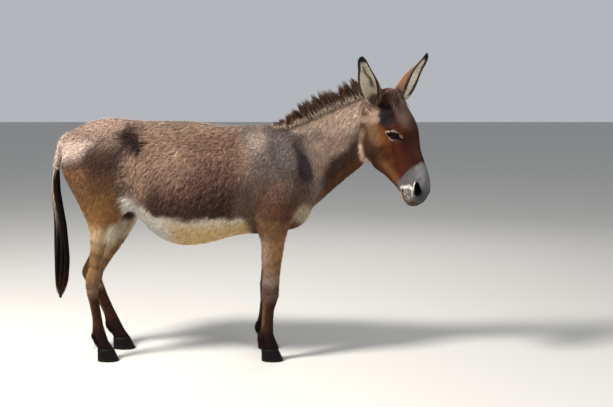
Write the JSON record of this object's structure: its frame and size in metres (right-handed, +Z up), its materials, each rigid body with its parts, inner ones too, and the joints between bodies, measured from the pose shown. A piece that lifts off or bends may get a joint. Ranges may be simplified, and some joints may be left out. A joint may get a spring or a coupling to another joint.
{
  "type": "donkey",
  "caption": "Life-size still model of a standing brown donkey with shaggy coat, upright mane, pale belly and dark legs, head turned to its right.",
  "frame": {"origin": "on the floor, under the middle of the bounding box", "axes": "+X from tail to nose, +Y to the donkey's left side, +Z up; the camera that suits the model looks along +Y at its right side"},
  "size_m": [1.8228, 0.5214, 1.4812],
  "materials": {
    "body": "shaggy grey-brown hair",
    "face": "short reddish-brown hair",
    "muzzle": "short grey velvety hair",
    "ear": "short tan hair, dark at rim and tip, pale inside",
    "eye": "wet, dark brown, glossy",
    "mane": "stiff upright dark hair with brown tips",
    "tail_hair": "long black hair",
    "leg": "short tan hair",
    "stocking": "short dark brown hair",
    "horn": "dark dull horn"
  },
  "bodies": {
    "root": {"trunk": "body", "neck": "body", "head": "face", "muzzle": "muzzle", "ear_right": "ear", "ear_left": "ear", "eye_right": "eye", "eye_left": "eye", "mane": "mane", "tail_dock": "body", "tail_hair": "tail_hair", "foreleg_right_upper": "leg", "foreleg_left_upper": "leg", "hindleg_right_upper": "leg", "hindleg_left_upper": "leg", "foreleg_right_lower": "stocking", "foreleg_left_lower": "stocking", "hindleg_right_lower": "stocking", "hindleg_left_lower": "stocking", "hoof_front_right": "horn", "hoof_front_left": "horn", "hoof_hind_right": "horn", "hoof_hind_left": "horn"}
  },
  "joints": []
}
